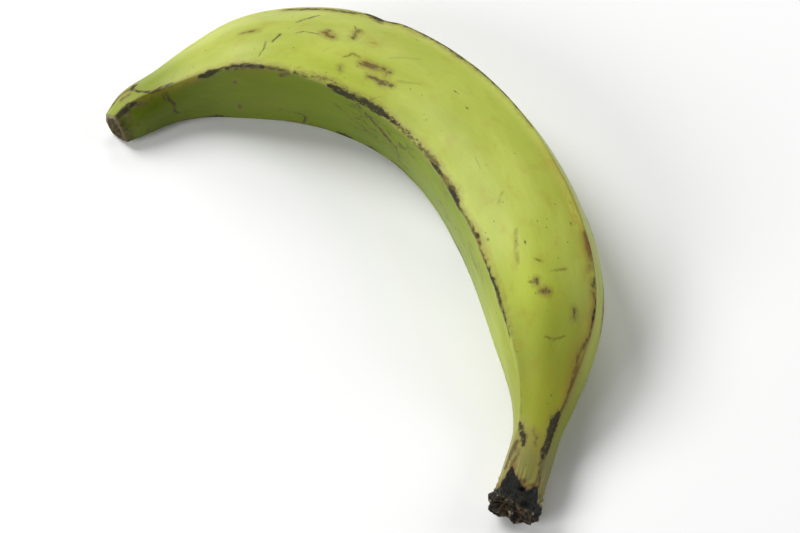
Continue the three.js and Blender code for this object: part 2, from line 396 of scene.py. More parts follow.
OUTER_RIDGE_DARK = [
    [(66, 1.5, 0.2), (72, 1.7, 0.45), (78, 1.4, 0.25), (85, 1.6, 0.5), (91, 1, 0.3)],
    [(92, 0, 0.5), (95, 0.8, 0.9), (98, 1, 0.6)],
    [(98, 0.4, 0.4), (104, 0, 0.4), (111, 0.2, 0.5), (117, 0, 0.4), (123, 0, 0.65), (129, 0.2, 0.5),
     (135, 0, 0.65), (141, -0.2, 0.4), (147, -0.5, 0.55), (153, -0.4, 0.35), (158, -0.5, 0.4)],
    [(224, 0.6, 0.2), (226, 0.7, 0.6), (227.5, 0.5, 0.2)],
    [(234, 0, 0.5), (236, 0, 0.6)],
    [(265, 0.2, 1), (267.5, 0.5, 1.7), (271, 0.4, 1.5), (275, 0.4, 1.4), (279, 0.7, 1.3), (282, 0.8, 0.7)],
]
OUTER_RIDGE_BROWN = [
    [(3, 0.6, 0.4), (7.3, 1.4, 0.5), (10, 2.3, 0.5), (12, 2.6, 0.6)],
    [(100, -0.6, 0.3), (107, -0.9, 0.6), (112, -0.6, 0.3)],
    [(119, -0.7, 0.5), (128, -0.9, 0.8), (139, -0.6, 0.5), (150, -0.9, 0.6), (163, -0.4, 0.3)],
    [(208.5, 0.6, 0.3), (211, 0.6, 0.75), (215, 0.6, 0.8), (218, 0.6, 0.3)],
    [(220, 1, 0.4), (221, 1, 0.45)],
    [(228, 1, 0.4), (230, 0.2, 0.35), (235, 0, 0.55), (239, 0, 0.35), (241, -0.2, 0.3)],
    [(242, 0.5, 0.35), (246, 1.5, 0.35), (249, 1.4, 0.5), (251.7, 0.8, 0.6), (254.7, 0.4, 0.65),
     (257.6, -0.2, 0.6), (260.5, -0.8, 0.6), (264.5, -0.4, 0.5)],
    [(279, 1.4, 1), (284, 0.8, 1), (289, 0.4, 0.7), (292.5, -0.2, 0.6), (297, -1.4, 0.6)],
]
FACE_DARK = [
    [(11, 56, 0.8), (12.6, 44, 1.3)],
    [(271, 128, 0.5), (273.5, 122, 0.9), (277, 112, 1.1), (280, 107, 0.8)],
]
FACE_BROWN = [
    [(6.4, 60, 0.8), (8.6, 65, 0.7)],
    [(52, 78, 0.4), (55, 79, 0.6), (58, 79, 0.4)],
    [(81.5, 85, 0.6), (83.6, 81, 0.9)],
    [(83.6, 88, 0.6), (85.8, 89, 0.9)],
    [(92.8, 75, 0.6), (93.6, 68, 0.7)],
    [(92.9, 83, 0.7), (93.4, 77, 0.5)],
    [(100, 113, 0.7), (102.5, 112, 1.4), (106, 111, 1.1), (110, 108, 0.6)],
    [(111.6, 113, 0.4), (112.4, 109, 0.6)],
    [(105, 123, 0.5), (108.4, 123, 0.8), (112.4, 123, 0.9), (116.4, 121, 0.7)],
    [(92.9, 125, 0.7), (93, 126, 0.6)],
    [(225.3, 100, 1), (226, 100, 0.9)],
    [(228.8, 97, 0.6), (229.2, 92, 0.9), (229.5, 87, 0.5)],
    [(235, 58, 0.5), (237, 58, 0.4)],
    [(114, 160, 0.3), (119, 165, 0.5), (123, 170, 1), (127.1, 174, 0.8), (131.2, 177, 0.4)],
    [(4.1, 108, 0.5), (2.7, 124, 0.5)],
    [(4.5, 125, 0.6), (4.6, 127, 0.6)],
    [(5.9, 164, 0.6), (6, 166, 0.6)],
    [(9.1, 200, 0.6), (9.2, 201, 0.6)],
    [(23.4, 208, 0.7), (24.5, 208, 0.5)],
    [(48.2, 146, 0.8), (48.8, 147, 0.7)],
    [(49.4, 190, 0.6), (49.5, 197, 0.8)],
    [(67.8, 141, 0.8), (71, 139, 0.5)],
    [(62.5, 187, 0.4), (62.6, 188, 0.4)],
    [(67, 196, 0.6), (67.6, 197, 0.6)],
    [(71.2, 199, 0.5), (71.4, 199, 0.5)],
    [(278.5, 124, 0.5), (282, 128, 0.8), (285.5, 131, 0.6), (290, 133, 0.5)],
    [(281.6, 113, 0.4), (286.9, 119, 0.6), (289.3, 121, 0.6)],
    [(273.5, 92, 0.3), (276, 80, 0.4), (279, 78, 0.3)],
]
# Thin lines on the faces: how plain each one is, then its points with angles across.
LINES = [
    (0.8, [(66.5, 91, 0.4), (63.8, 101, 0.35)]),
    (0.6, [(61.2, 100, 0.4), (60.6, 110, 0.3), (58.5, 119, 0.2)]),
    (0.8, [(71.9, 68, 0.45), (75.4, 57, 0.45), (78.2, 48, 0.3)]),
    (0.7, [(72.6, 89, 0.45), (74.7, 86, 0.35), (80.3, 88, 0.3)]),
    (0.7, [(91.4, 62, 0.3), (92.2, 66, 0.35)]),
    (0.6, [(92.6, 112, 0.35), (95.6, 105, 0.5), (98.6, 106, 0.5)]),
    (0.3, [(117.2, 114, 0.6), (125.4, 103, 0.4)]),
    (0.2, [(109.2, 92, 0.5), (118.1, 74, 0.4)]),
    (0.35, [(167, 114, 0.25), (172, 115, 0.2)]),
    (0.4, [(186.3, 107, 0.6), (189.5, 114, 0.6)]),
    (0.4, [(203.7, 108, 0.6), (210.6, 113, 0.8), (217.4, 115, 0.7)]),
    (0.6, [(217.4, 97, 0.4), (218.6, 91, 0.4)]),
    (0.5, [(222.4, 83, 0.25), (222.2, 75, 0.35), (221.7, 67, 0.35)]),
    (0.7, [(225.3, 108, 0.4), (225.3, 100, 0.6)]),
    (0.5, [(243.6, 94, 0.25), (244.4, 82, 0.4), (242.9, 68, 0.25)]),
    (1, [(11.4, 58, 0.5), (11.7, 76, 0.45), (13.5, 91, 0.45), (15.2, 101, 0.5), (19, 104, 0.55),
         (22.4, 106, 0.4), (23.8, 107, 0.25)]),
    (1, [(20.6, 118, 0.35), (20.9, 137, 0.5), (22.4, 153, 0.5), (21.8, 178, 0.45), (23.9, 189, 0.3)]),
    (0.7, [(19, 116, 0.3), (19.4, 133, 0.3)]),
    (1, [(74, 199, 0.3), (77.5, 200, 0.5), (78.9, 206, 0.5), (77.5, 214, 0.4)]),
    (1, [(137.3, 84, 0.3), (137.7, 84, 0.3)]),
    (0.9, [(146, 89, 0.3), (146.4, 89, 0.3)]),
    (0.9, [(202.9, 136, 0.3), (203.3, 136, 0.3)]),
    (1, [(209.8, 103, 0.3), (210.2, 103, 0.3)]),
    (0.9, [(204.4, 53, 0.3), (204.8, 53, 0.3)]),
    (0.6, [(93.6, 163, 0.5), (97.4, 168, 0.5)]),
    (0.9, [(106, 151, 0.4), (108.4, 154, 0.4)]),
    (0.4, [(97.4, 166, 0.5), (104.4, 176, 0.6), (111.6, 179, 0.5)]),
    (1, [(110.8, 157, 0.4), (117.2, 163, 0.8), (123, 170, 1.3), (127.1, 174, 1.1), (131.2, 177, 0.5)]),
    (0.9, [(132.9, 166, 0.5), (137.1, 168, 0.5)]),
    (0.7, [(139.6, 168, 0.5), (143.8, 167, 0.5)]),
    (0.7, [(132.1, 182, 0.4), (131.4, 200, 0.5), (137.9, 201, 0.5)]),
    (0.5, [(150.7, 192, 0.3), (156, 200, 0.35), (164, 199, 0.3)]),
    (0.6, [(180, 182, 0.3), (189, 179, 0.35), (198, 175, 0.3)]),
    (0.5, [(192, 170, 0.3), (201, 166, 0.35), (208, 166, 0.3)]),
]
# Fine lengthwise scratches crowd on the inner face, and a few lie all round: count, range of
# distance, range of angle, greatest length and how plain they are.
SCRATCH_FIELDS = [(38, (100, 138), (153, 192), 12, 1), (32, (138, 210), (150, 200), 14, 0.7),
                  (40, (20, 265), (0, 360), 5, 0.35)]
SCRATCH_SEED = 11
# Length as a share of the greatest, half width in mm, share of how plain, lean in degrees.
SCRATCH_LENGTHS = (0.2, 1)
SCRATCH_HALF_WIDTHS = (0.1, 0.26)
SCRATCH_PLAINNESS = (0.5, 1)
LEAN_OF_SCRATCHES = 12
# Random scuffs on the three ridges that the top view doesn't show: ridge, count. Ranges in mm.
HIDDEN_SCUFFS = [(INNER_LOWER, 9), (OUTER_LOWER, 10), (BACK, 8)]
HIDDEN_STARTS = (8, 255)
HIDDEN_LENGTHS = (5, 24)
HIDDEN_HALF_WIDTHS = (0.5, 1.5)
HIDDEN_OFFSETS = (-1, 1)
# Soft patches: distance, angle, half length, half width in mm, strength.
OCHRE_PATCHES = [
    (100.5, 81, 3, 1.5, 1), (99, 72, 8, 5, 0.35), (110.5, 112, 2, 2, 0.7), (96, 108, 6, 3, 0.3),
    (177, 50, 8, 3, 0.5), (192, 46, 12, 3, 0.6), (205, 46, 9, 3, 0.7), (218, 43, 9, 2.5, 0.5),
    (238, 38, 9, 4, 0.6), (249, 43, 7, 4, 0.7), (259, 42, 7, 3, 0.7), (295.5, 30, 4, 2.5, 0.8),
    (11, 105, 4, 1.2, 0.7), (16, 111, 5, 1.6, 0.8), (22.4, 115, 5, 1.8, 0.8), (29, 118, 5, 2, 0.8),
    (33, 122, 3, 1.5, 0.6), (64, 187, 12, 6, 0.35), (218, 92, 3, 3, 0.35), (265, 75, 9, 5, 0.35),
    (272, 85, 6, 4, 0.3), (60, 300, 12, 8, 0.4), (130, 270, 18, 9, 0.35), (210, 290, 14, 8, 0.4),
]
RUST_PATCHES = [
    (84, 86, 4, 3.5, 0.6), (103, 111, 5, 3, 0.4), (213.5, 42, 5, 1.4, 1), (228, 38, 4, 1.2, 0.6),
    (236, 35, 6, 1.6, 0.7), (256, 42, 9, 2.2, 0.5), (229, 91, 2.5, 2, 0.5), (222, 45, 3, 1.5, 0.35),
    (55, 136, 9, 1.8, 0.3), (168, 147, 8, 2, 0.15), (205, 143, 8, 1.6, 0.4),
]
# Painted light and shade: patches that brighten (above 0) or darken (below 0) the peel where light falls
# more or less.
PAINTED_LIGHT_AND_SHADE_PATCHES = [
    (45, 88, 28, 14, -0.15), (150, 112, 28, 9, -0.1), (78, 118, 22, 9, 0.14), (231, 109, 16, 7, 0.2),
    (129, 140, 11, 3, -0.15), (247, 87, 12, 5, -0.16), (258, 100, 10, 5, 0.1), (243, 24, 14, 4, 0.16),
    (140, 62, 32, 10, 0.09), (188, 115, 12, 6, -0.07), (222, 160, 16, 6, -0.09), (221, 49, 9, 5, 0.17),
]
# Where the dry black stem end begins, by angle in degrees.
DRY_EDGE = [(0, 299.5), (30, 299), (39, 293.5), (48, 294), (58, 296), (70, 295.3), (93, 293.6),
            (105, 291.5), (114, 289.3), (120, 288.8), (125, 293), (134, 296.2), (147, 299), (205, 299.5),
            (250, 295), (300, 297), (360, 299.5)]
LONGEST_REACH = 6
SHORTEST_PIECE = 0.01
LINE_FADE = 0.9
SHADE_SOFTNESS = 2.5


def on_ridge(stations, strokes):
    """Strokes given from a ridge, as strokes with angles in radians."""
    placed = []
    for stroke in strokes:
        points = []
        for distance, offset, half_width in stroke:
            radius = float(along(RADIUS, distance))
            points.append((distance, float(ridge_angle(stations, distance)) + offset / radius, half_width))
        placed.append(points)
    return placed


def on_face(strokes):
    return [[(distance, math.radians(angle), width) for distance, angle, width in stroke]
            for stroke in strokes]


def random_scratches():
    random = np.random.default_rng(SCRATCH_SEED)
    strokes = []
    for count, distances, angles, longest, plain in SCRATCH_FIELDS:
        for _ in range(count):
            distance = random.uniform(*distances)
            angle = random.uniform(*angles)
            length = random.uniform(*SCRATCH_LENGTHS) * longest
            lean = random.normal(0, LEAN_OF_SCRATCHES)
            width = random.uniform(*SCRATCH_HALF_WIDTHS)
            end = (distance + length, angle + lean * length / longest, width / 2)
            plainness = plain * random.uniform(*SCRATCH_PLAINNESS)
            strokes.append((plainness, [(distance, angle, width), end]))
    return strokes


def random_ridge_scuffs():
    random = np.random.default_rng(SCRATCH_SEED + 1)
    dark = []
    brown = []
    for stations, count in HIDDEN_SCUFFS:
        for number in range(count):
            start = random.uniform(*HIDDEN_STARTS)
            length = random.uniform(*HIDDEN_LENGTHS)
            width = random.uniform(*HIDDEN_HALF_WIDTHS)
            side = random.uniform(*HIDDEN_OFFSETS)
            middle = (start + length / 2, side / 2, width)
            stroke = [(start, side, width / 2), middle, (start + length, 0, width / 3)]
            (dark if number % 2 else brown).extend(on_ridge(stations, [stroke]))
    return dark, brown


def stroke_pieces(strokes):
    for stroke in strokes:
        yield from zip(stroke[:-1], stroke[1:])


def place_on_piece(piece, distance, angle):
    """Distance from a piece of stroke, offset to its side and past its end, and its half width, in mm."""
    (d0, a0, w0), (d1, a1, w1) = piece
    scale = float(along(RADIUS, (d0 + d1) / 2))
    along_x = d1 - d0
    along_y = (a1 - a0) * scale
    length = max(math.hypot(along_x, along_y), SHORTEST_PIECE)
    x = distance - d0
    y = turn_to(angle, a0) * scale
    share = (x * along_x + y * along_y) / length ** 2
    held = np.clip(share, 0, 1)
    away = np.hypot(x - held * along_x, y - held * along_y)
    sideways = (x * along_y - y * along_x) / length
    return away, sideways, np.abs(share - held) * length, w0 + (w1 - w0) * held


def edge_distance(strokes, distance, angle):
    """Distance in mm from the edge of the nearest stroke, negative inside it."""
    nearest = np.full(distance.shape, float(LONGEST_REACH))
    for piece in stroke_pieces(strokes):
        away, _, _, width = place_on_piece(piece, distance, angle)
        nearest = np.minimum(nearest, away - width)
    return nearest


def line_offset(lines, distance, angle):
    """Signed offset from the nearest thin line in half widths, and how plain that line is there."""
    nearest = np.full(distance.shape, float(LONGEST_REACH))
    offset = np.full(distance.shape, float(LONGEST_REACH))
    plainness = np.zeros(distance.shape)
    for plain, stroke in lines:
        for piece in stroke_pieces(on_face([stroke])):
            away, sideways, beyond, width = place_on_piece(piece, distance, angle)
            closer = away < nearest
            nearest = np.where(closer, away, nearest)
            offset = np.where(closer, sideways / width, offset)
            plainness = np.where(closer, plain * smooth_step(-beyond, -LINE_FADE, 0), plainness)
    return offset, plainness * smooth_step(-nearest, -2 * LINE_FADE, -LINE_FADE)


def patch_strength(patches, distance, angle):
    """Sum of soft round patches on the skin."""
    total = np.zeros(distance.shape)
    for centre, turn, half_length, half_width, strength in patches:
        scale = float(along(RADIUS, centre))
        across = turn_to(angle, math.radians(turn)) * scale
        total += strength * bump(np.hypot((distance - centre) / half_length, across / half_width), 1)
    return total


def ridge_distance(distance, angle, radius):
    """Distance in mm around the skin to the nearest ridge."""
    nearest = np.full(distance.shape, float(LONGEST_REACH))
    for stations, _, _ in RIDGES:
        nearest = np.minimum(nearest, np.abs(turn_to(angle, ridge_angle(stations, distance))) * radius)
    return nearest


def inner_side(distance, angle, radius):
    """1 on the inner face and the underside, 0 on the upper and outer faces that see the sun, soft across a
    ridge; it places the deeper green and painted shade inside the bend.
    """
    upper = ridge_angle(INNER_UPPER, distance)
    lower = ridge_angle(OUTER_LOWER, distance)
    inside = (lower - upper) / 2 - np.abs(turn_to(angle, (upper + lower) / 2))
    return smooth_step(inside * radius, -SHADE_SOFTNESS, SHADE_SOFTNESS)


def corners_of_faces(row_count, column_count):
    """Rows and columns of the corners of every face: a fan of triangles at each end, quads between."""
    column = np.arange(column_count)
    first_row = np.zeros(column_count, int)
    last_row = first_row + row_count - 1
    start = (np.stack([first_row, first_row + 1, first_row + 1], axis=1),
             np.stack([column, column + 1, column], axis=1))
    row, side = (grid.ravel() for grid in np.meshgrid(np.arange(1, row_count - 2), column, indexing="ij"))
    middle = (np.stack([row, row, row + 1, row + 1], axis=1),
              np.stack([side, side + 1, side + 1, side], axis=1))
    end = (np.stack([last_row - 1, last_row - 1, last_row], axis=1),
           np.stack([column, column + 1, column], axis=1))
    return start, middle, end


def texture_places(rows, columns, column_count, share, angle, distance):
    """Places in the texture map: a long strip for the peel and a small disc for each end."""
    wrapped = columns % column_count
    across = STRIP_LOW + (STRIP_HIGH - STRIP_LOW) * columns / column_count
    strip = np.stack([distance[rows, wrapped] / FRUIT_LENGTH, across], axis=-1)
    turn = angle[rows, wrapped]
    disc = np.stack([np.cos(turn), np.sin(turn)], axis=-1) * share[rows, 0][..., None] * DISC_RADIUS
    lowest = rows.min(axis=1, keepdims=True)
    in_first = (lowest < CAP_ROWS)[..., None]
    in_last = (lowest >= CAP_ROWS + RING_COUNT - 1)[..., None]
    ends = np.where(in_first, disc + FIRST_DISC, disc + LAST_DISC)
    return np.where(in_first | in_last, ends, strip)


def add_values(mesh, values):
    """Keeps a number or a vector for each vertex under a plain name, for the material to read."""
    for name, numbers in values.items():
        if numbers.ndim == 1:
            layer = mesh.attributes.new(name, "FLOAT", "POINT")
            layer.data.foreach_set("value", numbers.astype(np.float32))
        else:
            layer = mesh.attributes.new(name, "FLOAT_VECTOR", "POINT")
            layer.data.foreach_set("vector", numbers.astype(np.float32).ravel())


def peel_values(distance, angle, radius):
    """What the material knows of each point of the skin, in millimetres or shares of 1."""
    dark, brown = random_ridge_scuffs()
    dark += on_ridge(INNER_UPPER, INNER_RIDGE_DARK) + on_ridge(OUTER_UPPER, OUTER_RIDGE_DARK)
    dark += on_face(FACE_DARK)
    brown += on_ridge(INNER_UPPER, INNER_RIDGE_BROWN) + on_ridge(OUTER_UPPER, OUTER_RIDGE_BROWN)
    brown += on_face(FACE_BROWN)
    offset, plainness = line_offset(LINES + random_scratches(), distance, angle)
    dry_angles, dry_edges = np.array(DRY_EDGE, float).T
    dry_edge = np.interp(angle % TURN, np.radians(dry_angles), dry_edges)
    return {
        "skin": np.stack([distance, radius * np.cos(angle), radius * np.sin(angle)], axis=-1),
        "dark_edge": edge_distance(dark, distance, angle),
        "brown_edge": edge_distance(brown, distance, angle),
        "line_offset": offset,
        "line_plainness": plainness,
        "ochre": patch_strength(OCHRE_PATCHES, distance, angle),
        "rust": patch_strength(RUST_PATCHES, distance, angle),
        "painted_light_and_shade": patch_strength(PAINTED_LIGHT_AND_SHADE_PATCHES, distance, angle),
        "ridge": ridge_distance(distance, angle, radius),
        "inner_side": inner_side(distance, angle, radius),
        "dryness": distance - dry_edge,
    }


def make_fruit():
    low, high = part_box("plantain")
    points, distance, angle, radius, share = skin()
    points = settle(points, low, high)
    row_count, column_count = distance.shape
    kept = np.r_[0, column_count:distance.size - column_count, distance.size - 1]
    faces = []
    places = []
    for rows, columns in corners_of_faces(row_count, column_count):
        number = 1 + (rows - 1) * column_count + columns % column_count
        number = np.where(rows == 0, 0, np.where(rows == row_count - 1, len(kept) - 1, number))
        faces.extend(number.tolist())
        places.append(texture_places(rows, columns, column_count, share, angle, distance).reshape(-1, 2))
    mesh = bpy.data.meshes.new("plantain_skin")
    mesh.from_pydata(points.reshape(-1, 3)[kept].tolist(), [], faces)
    flat_places = np.concatenate(places).astype(np.float32).ravel()
    mesh.uv_layers.new(name="OFBake").data.foreach_set("uv", flat_places)
    add_values(mesh, peel_values(distance.ravel()[kept], angle.ravel()[kept], radius.ravel()[kept]))
    mesh.shade_smooth()
    fruit = bpy.data.objects.new("plantain_skin", mesh)
    bpy.context.collection.objects.link(fruit)
    fruit.data.materials.append(peel_material())
    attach(fruit, "root")
    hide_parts("plantain")
    return fruit


class Paint:
    """The nodes of one material, made and linked by short calls."""

    def __init__(self, name):
        self.material = bpy.data.materials.new(name)
        self.material.use_nodes = True
        self.tree = self.material.node_tree
        self.shader = self.tree.nodes["Principled BSDF"]

    def fill(self, socket, value):
        if isinstance(value, bpy.types.NodeSocket):
            self.tree.links.new(value, socket)
        else:
            socket.default_value = value

    def make(self, kind, inputs, **settings):
        node = self.tree.nodes.new(kind)
        for name, value in settings.items():
            setattr(node, name, value)
        for key, value in inputs.items():
            self.fill(node.inputs[key], value)
        return node

    def set(self, **inputs):
        for name, value in inputs.items():
            self.fill(self.shader.inputs[name.replace("_", " ")], value)

    def read(self, name, output="Fac"):
        return self.make("ShaderNodeAttribute", {}, attribute_name=name).outputs[output]

    def math(self, operation, first, second=0.0, third=0.0):
        return self.make("ShaderNodeMath", {0: first, 1: second, 2: third}, operation=operation).outputs[0]

    def add(self, first, *others):
        for other in others:
            first = self.math("ADD", first, other)
        return first

    def times(self, first, *others):
        for other in others:
            first = self.math("MULTIPLY", first, other)
        return first

    def step(self, value, start, end, low=0.0, high=1.0):
        """Smooth step from low at start to high at end, where start may be the larger."""
        sockets = {"Value": value, "From Min": start, "From Max": end, "To Min": low, "To Max": high}
        return self.make("ShaderNodeMapRange", sockets, interpolation_type="SMOOTHSTEP").outputs["Result"]

    def grain(self, place, scale, detail, stretch, shift):
        """Noise from about -1 to 1, in waves for each millimetre, stretched along the fruit."""
        sockets = {0: place, 1: (1 / stretch, 1, 1), 2: (shift, shift, shift)}
        moved = self.make("ShaderNodeVectorMath", sockets, operation="MULTIPLY_ADD").outputs[0]
        sockets = {"Vector": moved, "Scale": scale, "Detail": detail}
        noise = self.make("ShaderNodeTexNoise", sockets).outputs["Fac"]
        return self.math("MULTIPLY_ADD", noise, 4.0, -2.0)

    def blend(self, share, first, second):
        sockets = {0: share, 6: first, 7: second}
        return self.make("ShaderNodeMix", sockets, data_type="RGBA").outputs[2]


def shade(red, green, blue):
    """Linear colour of a shade given in the usual 0 to 255."""
    linear = []
    for value in (red, green, blue):
        share = value / 255
        linear.append(share / 12.92 if share <= 0.04045 else ((share + 0.055) / 1.055) ** 2.4)
    return (*linear, 1.0)


BRIGHT_PEEL = shade(182, 192, 84)
DEEP_PEEL = shade(164, 176, 62)
# Paler peel along the ridges: partly its own colour, partly a painted sheen where the crests catch the
# light.
RIDGE_PEEL_AND_SHEEN = shade(188, 194, 96)
# Inside the bend: partly the peel's own deeper green, partly painted shade, darkest toward the tip.
INNER_TIP_GREEN_AND_SHADE = shade(86, 100, 12)
INNER_MIDDLE_GREEN_AND_SHADE = shade(99, 116, 6)
INNER_STEM_GREEN_AND_SHADE = shade(118, 136, 30)
NECK_PEEL = shade(143, 151, 46)
STEM_PEEL = shade(130, 128, 66)
TIP_PEEL = shade(136, 150, 56)
OCHRE = shade(160, 144, 48)
# Ochre stains inside the bend, darkened with painted shade.
SHADED_INNER_OCHRE = shade(112, 106, 30)
RUST = shade(128, 84, 30)
LINE_OCHRE = shade(112, 96, 34)
LINE_BROWN = shade(70, 60, 32)
STAIN = shade(138, 124, 56)
SCUFF_BROWN = shade(94, 76, 42)
SCUFF_GREY = shade(98, 96, 66)
SCUFF_DARK = shade(46, 40, 30)
DRY_BLACK = shade(28, 29, 24)
DRY_BROWN = shade(98, 76, 50)
DRY_TAN = shade(178, 160, 130)
DRY_GREY = shade(78, 78, 68)
RIM_BROWN = shade(124, 98, 52)
TIP_OLIVE = shade(86, 78, 38)
TIP_BROWN = shade(44, 35, 21)
SCAR_GREY = shade(130, 122, 90)
SCAR_BROWN = shade(98, 84, 56)

# Grains of the peel: waves for each millimetre, detail, stretch along the fruit, shift.
GRAINS = {
    "slow": (0.035, 3, 2.5, 0), "patchy": (0.12, 3, 3, 20), "streaky": (0.5, 4, 14, 140),
    "fibres": (0.9, 4, 6, 0), "pores": (2.2, 2, 1.4, 5), "rough": (0.9, 5, 2, 40),
    "fine": (3.2, 3, 1.5, 60), "stem_fibres": (1.6, 4, 9, 30), "cloudy": (0.2, 5, 1.6, 160),
    "broken": (0.6, 3, 1, 80), "worn": (0.07, 3, 1.5, 100),
}

# Below, each value in brackets is a smooth step: where it starts and ends, then what it goes from
# and to where that isn't 0 to 1. A raggedness is how far a grain moves an edge, in its units.
# Sound peel: changes along the fruit and from a ridge in mm, the rest in shares of 1.
SLOW_PART = 0.7
PATCHY_PART = 0.5
MOTTLE_CHANGE = (-0.8, 0.8)
# Paler peel at each ridge, partly a painted sheen.
RIDGE_CHANGE = (5, 0, 0, 0.6)
RIDGE_WAVERING = 1.5
TIP_CHANGE = (38, 14)
NECK_CHANGE = (232, 262)
STEM_CHANGE = (266, 284)
# Inside the bend the deeper green with painted shade changes along the fruit and fades out toward the stem.
INNER_TIP_CHANGE = (25, 75)
INNER_STEM_CHANGE = (105, 160)
CHANGE_WAVERING = 8
INNER_EDGE = (0.1, 0.9)
INNER_WAVERING = 0.1
INNER_FADE = (165, 275, 1, 0)
FINE_CONTRAST = 0.02
OUTER_STREAKS = 0.015
INNER_STREAKS = 0.06

# Stains, and specks in scattered cells: cells for each mm, and the speck's edge in cell sizes.
CLOUD_CHANGE = (0, 1, 0, 0.35)
STAIN_BREAKS = (-1.2, 0.6)
OCHRE_STRENGTH = 0.85
RUST_STRENGTH = 0.5
SPECK_CELLS = 0.33
SPECK_EDGE = (0.14, 0.07)
SPECK_RAGGEDNESS = 0.02
SPECK_CHOICE = (0.62, 0.85)
SPECK_STRENGTH = 0.65

# Scratches, with the edge in half widths.
SCRATCH_EDGE = (1.9, 0.7)
SCRATCH_RAGGEDNESS = 0.7
SCRATCH_BREAKS = (-0.6, 0.1, 0.45, 1)
PLAIN_SCRATCHES = (0.3, 0.75)

# Scuffs, with edges in mm outward from a mark's edge or from a ridge.
WORN_EDGE = (0.7, 0.15)
WORN_RAGGEDNESS = 0.5
WORN_BREAKS = (-0.2, 0.5)
WORN_STRENGTH = 0.4
STAIN_EDGE = (2.4, 0)
STAIN_RAGGEDNESS = 0.8
STAIN_STRENGTH = 0.55
STAIN_LOSS = 0.9
SCUFF_RAGGEDNESS = 0.6
FINE_RAGGEDNESS = 0.3
BROWN_EDGE = (0.55, -0.55)
BROWN_STRENGTH = 0.85
GREY_CHANGE = (-0.5, 0.6)
SCUFF_RUST = 0.9
DARK_EDGE = (0.55, -0.6)
DARK_WEAR = (0, 1.5, 0.95, 0.5)

# Dry stem end: places in mm past the dry edge, the torn part in mm along the fruit, and crumbs in
# scattered cells.
DRY_RAGGEDNESS = 0.7
DRY_FIBRE_REACH = 0.5
DRY_CHANGE = (-0.6, 0.6)
RIM_CHANGE = (-3.6, -0.4, 0, 0.85)
GREY_FIBRES = (0.3, 1.1, 0, 0.7)
TORN_CHANGE = (FRUIT_LENGTH - 2, FRUIT_LENGTH + 1)
CRUMB_CELLS = 0.75
CRUMB_EDGE = (0.75, 0.35)
CRUMB_RAGGEDNESS = 0.12
BROWN_CRUMBS = (0.2, 0.45, 0, 0.9)
TAN_CRUMBS = (0.84, 0.9, 0, 0.8)

# Blossom end, with places in mm from its edge, less than 0 on the scar.
TIP_FINE_PART = 0.6
TIP_REACH = (5, 1)
TIP_RAGGEDNESS = 1.5
TIP_MOTTLE = (-0.5, 0.5)
TIP_STRENGTH = 0.75
SCAR_CHANGE = (0.5, -0.1)
SCAR_RAGGEDNESS = 0.4
SCAR_RIM = (-1.9, -0.8)
RIM_RAGGEDNESS = 0.5
SCAR_MOTTLE = (-0.6, 0.7)

# Change of roughness with the grain, and heights of the bump as shares of RELIEF_DEPTH.
ROUGHNESS_VARIATION = 0.03
FIBRE_BUMP = 0.08
PORE_BUMP = 0.1
SCUFF_BUMP = 0.7
DRY_FIBRE_BUMP = 2.5
DRY_CRUMB_BUMP = 1.5
SCRATCH_BUMP = -0.5


class PeelPaint(Paint):
    """Paint for the peel, with the places that its layers share and one member for each grain."""

    def __init__(self):
        super().__init__("peel")
        self.place = self.read("skin", "Vector")
        self.distance = self.make("ShaderNodeSeparateXYZ", {0: self.place}).outputs[0]
        self.inner = self.read("inner_side")
        self.ridge = self.read("ridge")
        for name, setting in GRAINS.items():
            setattr(self, name, self.grain(self.place, *setting))

    def ragged(self, value, raggedness):
        return self.add(value, self.times(self.rough, raggedness))

    def cells(self, scale, raggedness):
        """Distance from the middle of each scattered cell, and a random share for each cell."""
        sockets = {"Vector": self.place, "Scale": scale, "Randomness": 1.0}
        pattern = self.make("ShaderNodeTexVoronoi", sockets)
        chosen = self.make("ShaderNodeSeparateColor", {0: pattern.outputs["Color"]}).outputs[0]
        return self.add(pattern.outputs["Distance"], self.times(self.fine, raggedness)), chosen


def sound_peel(paint):
    """Green of the sound peel: yellower near the ridges, partly a painted sheen, deeper green with painted
    shade inside the bend, dull on the neck, with patches of painted light and shade.
    """
    mottled = paint.add(paint.times(paint.slow, SLOW_PART), paint.times(paint.patchy, PATCHY_PART))
    colour = paint.blend(paint.step(mottled, *MOTTLE_CHANGE), BRIGHT_PEEL, DEEP_PEEL)
    # Paler near each ridge: partly the peel's own colour, partly painted sheen.
    from_ridge = paint.add(paint.ridge, paint.times(paint.slow, RIDGE_WAVERING))
    colour = paint.blend(paint.step(from_ridge, *RIDGE_CHANGE), colour, RIDGE_PEEL_AND_SHEEN)
    wavering = paint.add(paint.distance, paint.times(paint.slow, CHANGE_WAVERING))
    for change, shown in ((NECK_CHANGE, NECK_PEEL), (STEM_CHANGE, STEM_PEEL), (TIP_CHANGE, TIP_PEEL)):
        colour = paint.blend(paint.step(wavering, *change), colour, shown)
    # Inner faces: deeper green and painted shade, faded out toward the stem.
    inner_green_and_shade = paint.blend(paint.step(wavering, *INNER_TIP_CHANGE), INNER_TIP_GREEN_AND_SHADE, INNER_MIDDLE_GREEN_AND_SHADE)
    inner_green_and_shade = paint.blend(paint.step(wavering, *INNER_STEM_CHANGE), inner_green_and_shade, INNER_STEM_GREEN_AND_SHADE)
    inner_edge = paint.add(paint.inner, paint.times(paint.patchy, INNER_WAVERING))
    inner = paint.times(paint.step(inner_edge, *INNER_EDGE), paint.step(paint.distance, *INNER_FADE))
    colour = paint.blend(inner, colour, inner_green_and_shade)
    fine = paint.times(paint.add(paint.fibres, paint.pores), FINE_CONTRAST)
    contrast = paint.math("MULTIPLY_ADD", paint.inner, INNER_STREAKS, OUTER_STREAKS)
    # Brightness: painted light and shade patches, plus fine grain and streaks.
    value = paint.add(paint.read("painted_light_and_shade"), fine, paint.times(paint.streaky, contrast), 1.0)
    return paint.make("ShaderNodeHueSaturation", {"Color": colour, "Value": value}).outputs[0]


